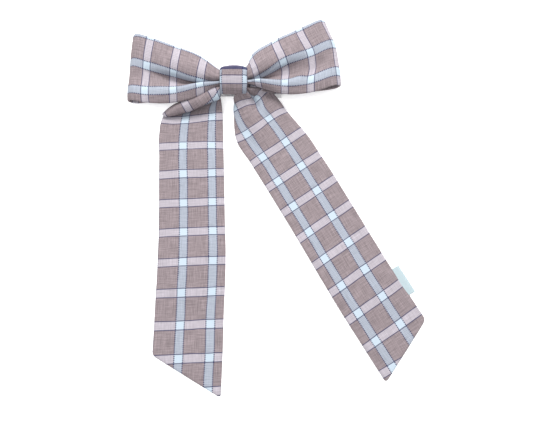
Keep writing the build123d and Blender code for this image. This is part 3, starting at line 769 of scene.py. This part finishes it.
def closed_band(name, points, weave, half, material):
    """Like cloth, but its first and last rows are one and the same."""
    rows, columns = half.shape
    rows -= 1
    ring = points[:-1]
    du = np.roll(ring, -1, axis=0) - np.roll(ring, 1, axis=0)
    dv = np.gradient(ring, axis=1)
    n = np.cross(du, dv)
    n /= np.maximum(np.linalg.norm(n, axis=2, keepdims=True), 1e-9)
    centre = ring.mean(axis=(0, 1))
    if np.sum(n * (ring - centre)) < 0:
        n = -n
    h = half[:-1, :, None]
    front, back = (ring + n * h).reshape(-1, 3), (ring - n * h).reshape(-1, 3)
    index = np.arange(rows * columns).reshape(rows, columns)
    inner = half[:-1] > 1e-9
    index_back = index.copy()
    index_back[inner] = rows * columns + np.arange(inner.sum())
    vertices = np.concatenate([front, back[inner.ravel()]])
    faces, uvs = [], []
    for grid, outside in ((index, True), (index_back, False)):
        for i in range(rows):
            k = (i + 1) % rows
            for j in range(columns - 1):
                corners = [(i, i, j), (k, i + 1, j), (k, i + 1, j + 1), (i, i, j + 1)]
                if not outside:
                    corners.reverse()
                faces.append([int(grid[r, c]) for r, _, c in corners])
                uvs += [weave[w, c] for _, w, c in corners]
    made = make_object(name, vertices, faces, material)
    layer = made.data.uv_layers.new(name="weave")
    layer.data.foreach_set("uv", (np.array(uvs) * MM).astype(np.float32).ravel())
    # the winding follows the middle line, so it is checked against the outward side
    face = made.data.polygons[columns // 2]
    outward = Vector(n.reshape(-1, 3)[columns // 2])
    if face.normal.dot(outward) < 0:
        made.data.flip_normals()
    return made


knot, knot_round, knot_width = make_knot()
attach(knot, "bow")
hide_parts("knot_wrap")


# ---- Side label ---------------------------------------------------------------------------
LABEL_TAPE = plain_weave("label tape", (0.48, 0.575, 0.605), (0.38, 0.475, 0.515), 0.30, 0.6)


def make_label():
    """A blank folded tape caught in the right tail's outer seam."""
    seam, proud, low, high = 25.9, 5.4, -175.4, -156.2
    half_gap = 0.25
    path = [(seam - 1.2, 1.2 + half_gap * 0.6), (seam + 0.8, 1.25 + half_gap),
            (seam + proud - 0.7, 1.35 + half_gap), (seam + proud, 1.35),
            (seam + proud - 0.7, 1.35 - half_gap), (seam + 0.8, 1.25 - half_gap),
            (seam - 1.2, 1.2 - half_gap * 0.6)]
    path = np.array(path)
    arc = np.concatenate([[0], np.cumsum(np.linalg.norm(np.diff(path, axis=0), axis=1))])
    along = np.linspace(0, arc[-1], 40)
    line = ease(arc, path, along)
    across = spaced(low, high, 0.7)
    t = (across - low) / (high - low)
    points = np.empty((len(along), len(across), 3))
    points[..., 0] = line[:, None, 0]
    points[..., 1] = across[None, :] - 0.05 * (line[:, None, 0] - seam)
    curl = 0.35 * (t - 0.5) ** 2 + 0.1 * np.sin(5 * t)
    free = np.clip((line[:, None, 0] - seam) / proud, 0, 1)
    points[..., 2] = line[:, None, 1] + curl[None, :] * free
    points = turned(points, RIGHT_TAIL_TURN)
    grid = np.repeat(along[:, None], len(across), axis=1)
    weave = np.stack([grid, np.broadcast_to(across - low, grid.shape)], axis=-1)
    distance = np.minimum(np.minimum(across - low, high - across)[None, :],
                          np.minimum(along, arc[-1] - along)[:, None])
    half = 0.13 * np.sqrt(np.clip(distance / 0.2, 0, 1))
    piece = cloth("side_label_tape", points, weave, half, LABEL_TAPE, flip=True)
    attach(piece, "right_tail")
    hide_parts("side_label")


make_label()


# ---- Metal, felt and thread on the frame's own nodes --------------------------------------
def brushed_steel():
    g = Graph("brushed nickel", 0.32, specular=0.5, metallic=1.0)
    place = g.node("ShaderNodeTexCoord").outputs["Object"]
    stretch = g.node("ShaderNodeMapping", {"Vector": place, "Scale": (60.0, 2600.0, 900.0)})
    grain = g.noise(stretch.outputs[0], 1.0, 4.0, 0.6)
    smudge = g.noise(place, 90.0, 3.0)
    colour = g.mix(g.calc("MULTIPLY_ADD", grain, 0.7, g.calc("MULTIPLY", smudge, 0.3)),
                   (0.42, 0.42, 0.43), (0.74, 0.74, 0.75))
    rough = g.calc("MULTIPLY_ADD", grain, 0.22, 0.24)
    g.tree.links.new(rough, g.shader.inputs["Roughness"])
    return g.finish(colour, grain, 0.00004, 0.4)


def pressed_felt():
    g = Graph("pressed felt", 0.95, specular=0.1, sheen=0.3)
    place = g.node("ShaderNodeTexCoord").outputs["Object"]
    fibres = g.noise(place, 2600.0, 4.0, 0.7)
    clumps = g.noise(place, 420.0, 2.0)
    colour = g.mix(g.calc("MULTIPLY_ADD", fibres, 0.6, g.calc("MULTIPLY", clumps, 0.4)),
                   (0.16, 0.13, 0.14), (0.36, 0.30, 0.32))
    return g.finish(colour, fibres, 0.00025, 0.8)


def thread_material():
    g = Graph("sewing thread", 0.6, specular=0.3, sheen=0.2)
    place = g.node("ShaderNodeTexCoord").outputs["Object"]
    parts = g.node("ShaderNodeSeparateXYZ", {"Vector": place})
    total = g.calc("ADD", g.calc("ADD", parts.outputs[0], parts.outputs[1]), parts.outputs[2])
    twist = g.calc("SINE", g.calc("MULTIPLY", total, 2 * math.pi / 0.00035))
    colour = g.mix(g.calc("MULTIPLY_ADD", twist, 0.5, 0.5), (0.34, 0.27, 0.28), (0.56, 0.46, 0.47))
    return g.finish(colour, twist, 0.00005, 0.8)


STEEL, FELT, THREAD = brushed_steel(), pressed_felt(), thread_material()
NODE_MATERIALS = {
    STEEL: ("barrette_base", "barrette_clasp_arm", "hinge_pin", "tension_bar", "rivet_left",
            "rivet_right", "latch_ear_front", "latch_ear_back"),
    FELT: ("glue_pad",),
}
for material, names in NODE_MATERIALS.items():
    for name in names:
        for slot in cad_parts[name].material_slots:
            slot.material = material


# ---- Thread: gathers and the band's closing stitches --------------------------------------
class Repeat:
    """A small Geometry Nodes group that makes one thing many times and leaves a plain mesh."""

    def __init__(self, name, sizes):
        self.group = bpy.data.node_groups.new(name, "GeometryNodeTree")
        self.group.interface.new_socket(name="Geometry", in_out="OUTPUT",
                                        socket_type="NodeSocketGeometry")
        self.sizes = sizes
        self.sockets = {}
        for label, value in sizes.items():
            kind = ("NodeSocketInt" if isinstance(value, int) else
                    "NodeSocketVector" if isinstance(value, tuple) else "NodeSocketFloat")
            self.sockets[label] = self.group.interface.new_socket(name=label, in_out="INPUT",
                                                                  socket_type=kind)
        self.inputs = self.group.nodes.new("NodeGroupInput")

    def node(self, kind, links=(), **settings):
        made = self.group.nodes.new(kind)
        for name, value in settings.items():
            setattr(made, name, value)
        for key, value in dict(links).items():
            if isinstance(value, str):
                value = self.inputs.outputs[value]
            if isinstance(value, bpy.types.Node):
                value = value.outputs[0]
            if isinstance(value, bpy.types.NodeSocket):
                self.group.links.new(value, made.inputs[key])
            else:
                made.inputs[key].default_value = value
        return made

    def made(self, name, instance, points, material, rotation=None):
        links = {"Points": points, "Instance": instance}
        if rotation is not None:
            links["Rotation"] = rotation
        many = self.node("GeometryNodeInstanceOnPoints", links)
        real = self.node("GeometryNodeRealizeInstances", {"Geometry": many})
        soft = self.node("GeometryNodeSetShadeSmooth", {"Geometry": real})
        skin = self.node("GeometryNodeSetMaterial", {"Geometry": soft, "Material": material})
        out = self.group.nodes.new("NodeGroupOutput")
        self.group.links.new(skin.outputs[0], out.inputs[0])
        holder = bpy.data.objects.new(name, bpy.data.meshes.new(name))
        bpy.context.scene.collection.objects.link(holder)
        modifier = holder.modifiers.new("repeat", "NODES")
        modifier.node_group = self.group
        for label, value in self.sizes.items():
            modifier[self.sockets[label].identifier] = value
        bpy.context.view_layer.update()
        graph = bpy.context.evaluated_depsgraph_get()
        mesh = bpy.data.meshes.new_from_object(holder.evaluated_get(graph))
        holder.modifiers.remove(modifier)
        holder.data = mesh
        return holder


def thread_turns(name, y, z, thread, turns):
    """Turns of two-ply thread pulled tight round a gathered bundle."""
    r = Repeat("thread turns", {
        "Turns": turns, "Step": (thread * 1.04 * MM, 0.0, 0.0),
        "First": (-(turns - 1) / 2 * thread * 1.04 * MM, (y[0] + y[1]) / 2 * MM,
                  (z[0] + z[1]) / 2 * MM),
        "Deep": (z[1] - z[0] + thread) * MM, "Tall": (y[1] - y[0] + thread) * MM,
        "Corner": (0.7 + thread / 2) * MM, "Thread radius": thread * 0.5 * MM, "Seed": 4})
    outline = r.node("GeometryNodeCurvePrimitiveQuadrilateral", {"Width": "Deep", "Height": "Tall"},
                     mode="RECTANGLE")
    rounded = r.node("GeometryNodeFilletCurve", {"Curve": outline, "Radius": "Corner",
                                                 "Count": 8}, mode="POLY")
    even = r.node("GeometryNodeResampleCurve", {"Curve": rounded, "Count": 120})
    place = r.node("GeometryNodeSplineParameter")
    twist = r.node("ShaderNodeMath", {0: place.outputs["Factor"], 1: 2 * math.pi * 9},
                   operation="MULTIPLY")
    wound = r.node("GeometryNodeSetCurveTilt", {"Curve": even, "Tilt": twist})
    circle = r.node("GeometryNodeCurvePrimitiveCircle", {"Resolution": 10,
                                                         "Radius": "Thread radius"})
    ply = r.node("GeometryNodeTransform", {"Geometry": circle.outputs[0],
                                           "Scale": (1.0, 0.78, 1.0)})
    rope = r.node("GeometryNodeCurveToMesh", {"Curve": wound, "Profile Curve": ply})
    upright = r.node("GeometryNodeTransform", {"Geometry": rope,
                                               "Rotation": (0.0, -math.pi / 2, 0.0)})
    points = r.node("GeometryNodeMeshLine", {"Count": "Turns", "Start Location": "First",
                                             "Offset": "Step"}, mode="OFFSET")
    lean = r.node("FunctionNodeRandomValue", {"Min": (0.0, -0.02, -0.02), "Max": (0.0, 0.02, 0.02),
                                              "Seed": "Seed"}, data_type="FLOAT_VECTOR")
    return r.made(name, upright, points, THREAD, rotation=lean)


def whip_stitches(name, first, step, count, length, thread):
    """A row of short slanting stitches, each a small arch of thread."""
    r = Repeat("whip stitches", {
        "Stitches": count, "First": tuple(c * MM for c in first),
        "Step": tuple(c * MM for c in step), "Length": length * MM,
        "Thread radius": thread / 2 * MM, "Seed": 7})
    half = r.node("ShaderNodeMath", {0: "Length", 1: 0.5}, operation="MULTIPLY")
    back = r.node("ShaderNodeMath", {0: "Length", 1: -0.5}, operation="MULTIPLY")
    rise = r.node("ShaderNodeMath", {0: "Length", 1: -0.42}, operation="MULTIPLY")
    start = r.node("ShaderNodeCombineXYZ", {"X": 0.0002, "Y": back})
    middle = r.node("ShaderNodeCombineXYZ", {"Z": rise})
    end = r.node("ShaderNodeCombineXYZ", {"X": -0.0002, "Y": half})
    arch = r.node("GeometryNodeCurveQuadraticBezier", {"Resolution": 10, "Start": start,
                                                       "Middle": middle, "End": end})
    circle = r.node("GeometryNodeCurvePrimitiveCircle", {"Resolution": 8,
                                                         "Radius": "Thread radius"})
    stitch = r.node("GeometryNodeCurveToMesh", {"Curve": arch, "Profile Curve": circle.outputs[0],
                                                "Fill Caps": True})
    points = r.node("GeometryNodeMeshLine", {"Count": "Stitches", "Start Location": "First",
                                             "Offset": "Step"}, mode="OFFSET")
    lean = r.node("FunctionNodeRandomValue", {"Min": (-0.05, -0.05, -0.2), "Max": (0.05, 0.05, 0.2),
                                              "Seed": "Seed"}, data_type="FLOAT_VECTOR")
    return r.made(name, stitch, points, THREAD, rotation=lean)


for node, y, z, thread in (("loop_gather_thread", (-0.1, 7.4), (11.4, 18.3), 0.6),
                           ("tail_gather_thread", (-5.6, -1.5), (11.6, 15.3), 0.5)):
    winding = thread_turns(f"{node}_turns", y, z, thread, 5)
    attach(winding, "bow")
    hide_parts(node)

seam = whip_stitches("knot_closing_stitches", (-5.6, 7.4, 8.95), (1.45, 0.0, 0.0), 11, 1.9, 0.45)
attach(seam, "bow")
